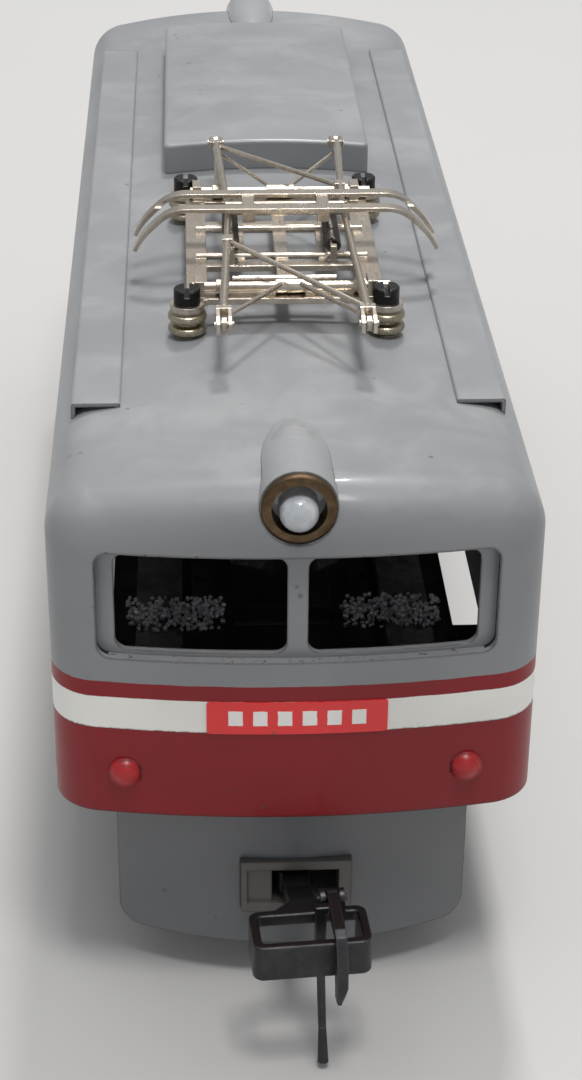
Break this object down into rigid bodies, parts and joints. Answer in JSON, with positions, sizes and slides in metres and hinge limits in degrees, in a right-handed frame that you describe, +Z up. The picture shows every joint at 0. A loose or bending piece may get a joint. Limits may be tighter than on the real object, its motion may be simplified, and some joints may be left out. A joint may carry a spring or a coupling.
{
  "type": "model electric locomotive",
  "caption": "HO model electric locomotive: bowed cab ends, folding roof pantograph, worm-driven wheelsets, swinging loop-and-hook couplers.",
  "frame": {"origin": "Centre of the overall box in plan, on the surface that the wheel flanges stand on.", "axes": "+Z up, Y along the locomotive with the pantograph end facing -Y, +X to the right seen from the pantograph end."},
  "size_m": [0.036, 0.1428, 0.0508],
  "materials": {
    "body_paint": "satin grey enamel above crimson with an off-white stripe",
    "grey_paint": "satin grey enamel",
    "silver_paint": "silver-grey enamel, slightly worn",
    "aged_brass": "browned brass",
    "lamp_glass": "cloudy white moulded lamp bead",
    "red_lamp": "gloss red enamel",
    "plate_red": "bright red enamel with plain white blocks",
    "black_metal": "matt black enamel",
    "brass": "machined brass",
    "steel": "bright steel",
    "magnet": "dark cast magnet",
    "lead": "dull cast lead",
    "wire": "black insulated lead",
    "nickel_silver": "worn nickel silver",
    "black_screw": "blackened steel",
    "spring_steel": "dark spring steel",
    "copper": "enamelled copper",
    "wheel_nickel": "nickel plated tread",
    "coupler_black": "chemically blackened metal, worn"
  },
  "bodies": {
    "chassis": {"body_shell": "body_paint", "front_window_frame": "grey_paint", "rear_window_frame": "grey_paint", "side_louvres": "grey_paint", "roof_duct_left": "grey_paint", "roof_duct_right": "grey_paint", "roof_hatch": "grey_paint", "front_headlight_cowl": "silver_paint", "front_headlight_bezel": "aged_brass", "front_headlight_lens": "lamp_glass", "rear_headlight_cowl": "silver_paint", "rear_headlight_bezel": "aged_brass", "rear_headlight_lens": "lamp_glass", "front_tail_lamps": "red_lamp", "rear_tail_lamps": "red_lamp", "front_number_plate": "plate_red", "rear_number_plate": "plate_red", "chassis_frame": "black_metal", "keeper_plates": "brass", "keeper_screws": "steel", "body_screws": "steel", "axle_bushes": "brass", "left_side_frame": "black_metal", "right_side_frame": "black_metal", "front_apron": "grey_paint", "rear_apron": "grey_paint", "front_coupler_pocket": "grey_paint", "rear_coupler_pocket": "grey_paint", "motor_poles": "steel", "motor_magnet": "magnet", "motor_bridges": "brass", "brush_holders": "brass", "gear_covers": "brass", "ballast_weights": "lead", "lead_wires": "wire", "pantograph_insulators": "nickel_silver", "pantograph_screws": "black_screw", "pantograph_base_frame": "nickel_silver", "pantograph_springs": "spring_steel"},
    "armature": {"motor_shaft": "steel", "armature_core": "steel", "armature_windings": "copper", "commutator": "copper", "worms": "brass"},
    "front_wheelset": {"front_axle": "steel", "front_wheels": "wheel_nickel", "front_worm_wheel": "brass"},
    "rear_wheelset": {"rear_axle": "steel", "rear_wheels": "wheel_nickel", "rear_worm_wheel": "brass"},
    "front_coupler_body": {"front_coupler": "coupler_black"},
    "front_hook_body": {"front_hook": "coupler_black"},
    "rear_coupler_body": {"rear_coupler": "coupler_black"},
    "rear_hook_body": {"rear_hook": "coupler_black"},
    "panto_front_lower": {"pantograph_front_lower": "nickel_silver"},
    "panto_rear_lower": {"pantograph_rear_lower": "nickel_silver"},
    "panto_front_upper": {"pantograph_front_upper": "nickel_silver"},
    "panto_rear_upper": {"pantograph_rear_upper": "nickel_silver"},
    "panto_head": {"pantograph_head": "nickel_silver"}
  },
  "joints": [
    {"name": "motor_spin", "type": "hinge", "parent": "chassis", "child": "armature", "pos_m": [0, 0, 0.01335], "axis": [0, 1, 0], "continuous": true},
    {"name": "front_axle_spin", "type": "hinge", "parent": "chassis", "child": "front_wheelset", "pos_m": [0, -0.029, 0.00715], "axis": [1, 0, 0], "continuous": true},
    {"name": "rear_axle_spin", "type": "hinge", "parent": "chassis", "child": "rear_wheelset", "pos_m": [0, 0.029, 0.00715], "axis": [1, 0, 0], "continuous": true},
    {"name": "front_coupler_swing", "type": "hinge", "parent": "chassis", "child": "front_coupler_body", "pos_m": [0, -0.0575, 0.0094], "axis": [0, 0, 1], "range_deg": [-14, 14]},
    {"name": "front_hook_lift", "type": "hinge", "parent": "front_coupler_body", "child": "front_hook_body", "pos_m": [0.0025, -0.06503, 0.0129], "axis": [-0.9969, -0.0785, 0], "range_deg": [0, 18]},
    {"name": "rear_coupler_swing", "type": "hinge", "parent": "chassis", "child": "rear_coupler_body", "pos_m": [0, 0.0575, 0.0094], "axis": [0, 0, 1], "range_deg": [-9, 18]},
    {"name": "rear_hook_lift", "type": "hinge", "parent": "rear_coupler_body", "child": "rear_hook_body", "pos_m": [-0.0019, 0.0652, 0.0129], "axis": [1, 0, 0], "range_deg": [0, 18]},
    {"name": "pantograph_raise", "type": "hinge", "parent": "chassis", "child": "panto_front_lower", "pos_m": [0, -0.0309, 0.0475], "axis": [-1, 0, 0], "range_deg": [0, 48]},
    {"name": "rear_lower_arm_turn", "type": "hinge", "parent": "chassis", "child": "panto_rear_lower", "pos_m": [0, -0.0093, 0.0475], "axis": [1, 0, 0], "range_deg": [0, 48]},
    {"name": "front_knee_turn", "type": "hinge", "parent": "panto_front_lower", "child": "panto_front_upper", "pos_m": [0, -0.04085, 0.04855], "axis": [1, 0, 0], "range_deg": [0, 81.6]},
    {"name": "rear_knee_turn", "type": "hinge", "parent": "panto_rear_lower", "child": "panto_rear_upper", "pos_m": [0, 0.00065, 0.04855], "axis": [-1, 0, 0], "range_deg": [0, 81.6]},
    {"name": "head_level_turn", "type": "hinge", "parent": "panto_front_upper", "child": "panto_head", "pos_m": [0, -0.0211, 0.05], "axis": [-1, 0, 0], "range_deg": [0, 33.6]}
  ],
  "couplings": [
    {"joint": "front_axle_spin", "follows": "motor_spin", "ratio": 0.05},
    {"joint": "rear_axle_spin", "follows": "motor_spin", "ratio": 0.05},
    {"joint": "rear_lower_arm_turn", "follows": "pantograph_raise", "ratio": 1},
    {"joint": "front_knee_turn", "follows": "pantograph_raise", "ratio": 1.7},
    {"joint": "rear_knee_turn", "follows": "pantograph_raise", "ratio": 1.7},
    {"joint": "head_level_turn", "follows": "pantograph_raise", "ratio": 0.7}
  ]
}
